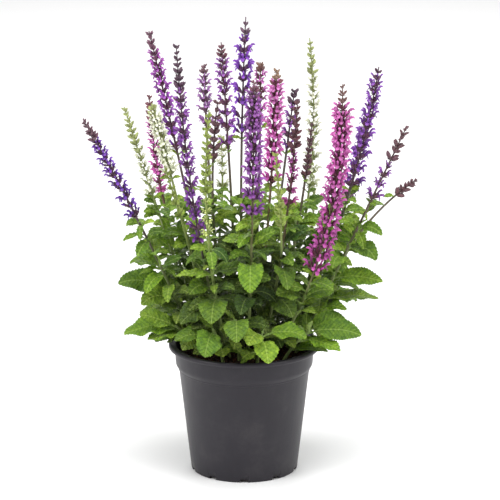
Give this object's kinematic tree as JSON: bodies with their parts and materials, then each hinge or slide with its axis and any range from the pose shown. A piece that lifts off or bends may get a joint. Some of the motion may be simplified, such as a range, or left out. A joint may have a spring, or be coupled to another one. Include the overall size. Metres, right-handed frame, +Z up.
{
  "type": "perennial salvia",
  "caption": "Potted perennial salvia: a clump of leafy stems with upright spikes of small two-lipped flowers, in a round nursery pot with a rolled rim.",
  "frame": {"origin": "centre of the pot's flat base, on the surface that it stands on", "axes": "+Z up along the pot's axis; +X to the right and +Y away, seen from the side that the plant is shown from"},
  "size_m": [0.4149, 0.2805, 0.5741],
  "materials": {
    "pot": "satin black moulded plastic",
    "compost": "rough, crumbly, dark brown",
    "foliage": "soft matte, wrinkled leaf",
    "violet_flower": "velvety petal with a dark calyx",
    "mauve_flower": "velvety petal with a dark calyx",
    "pink_flower": "velvety petal with a reddish calyx",
    "white_flower": "velvety petal with a green calyx",
    "green_bud": "matte bud",
    "dark_bud": "matte bud"
  },
  "bodies": {
    "root": {"pot": "pot", "compost": "compost", "leafy_stem_01": "foliage", "leafy_stem_02": "foliage", "leafy_stem_03": "foliage", "leafy_stem_04": "foliage", "leafy_stem_06": "foliage", "leafy_stem_07": "foliage", "leafy_stem_08": "foliage", "leafy_stem_09": "foliage", "leafy_stem_10": "foliage", "leafy_stem_11": "foliage", "leafy_stem_12": "foliage", "leafy_stem_13": "foliage", "leafy_stem_14": "foliage", "leafy_stem_15": "foliage", "leafy_stem_16": "foliage", "leafy_stem_17": "foliage", "leafy_stem_18": "foliage", "leafy_stem_19": "foliage", "leafy_stem_20": "foliage", "leafy_stem_21": "foliage", "leafy_stem_22": "foliage", "leafy_stem_23": "foliage", "leafy_shoot_a": "foliage", "leafy_shoot_b": "foliage", "leafy_shoot_c": "foliage", "leafy_shoot_d": "foliage", "leafy_shoot_e": "foliage", "leafy_shoot_f": "foliage", "leafy_shoot_g": "foliage", "leafy_shoot_h": "foliage", "leafy_shoot_i": "foliage", "flower_spike_01": "violet_flower", "flower_spike_02": "white_flower", "flower_spike_03": "pink_flower", "flower_spike_04": "white_flower", "flower_spike_05": "green_bud", "flower_spike_06": "mauve_flower", "flower_spike_07": "violet_flower", "flower_spike_08": "violet_flower", "flower_spike_09": "green_bud", "flower_spike_10": "dark_bud", "flower_spike_11": "violet_flower", "flower_spike_12": "violet_flower", "flower_spike_13": "mauve_flower", "flower_spike_14": "violet_flower", "flower_spike_15": "pink_flower", "flower_spike_16": "violet_flower", "flower_spike_17": "pink_flower", "flower_spike_18": "white_flower", "flower_spike_19": "dark_bud", "flower_spike_20": "pink_flower", "flower_spike_21": "violet_flower", "flower_spike_22": "violet_flower", "flower_spike_23": "violet_flower", "flower_spike_24": "dark_bud", "flower_spike_25": "green_bud", "flower_spike_26": "white_flower", "flower_spike_27": "white_flower"}
  },
  "joints": []
}
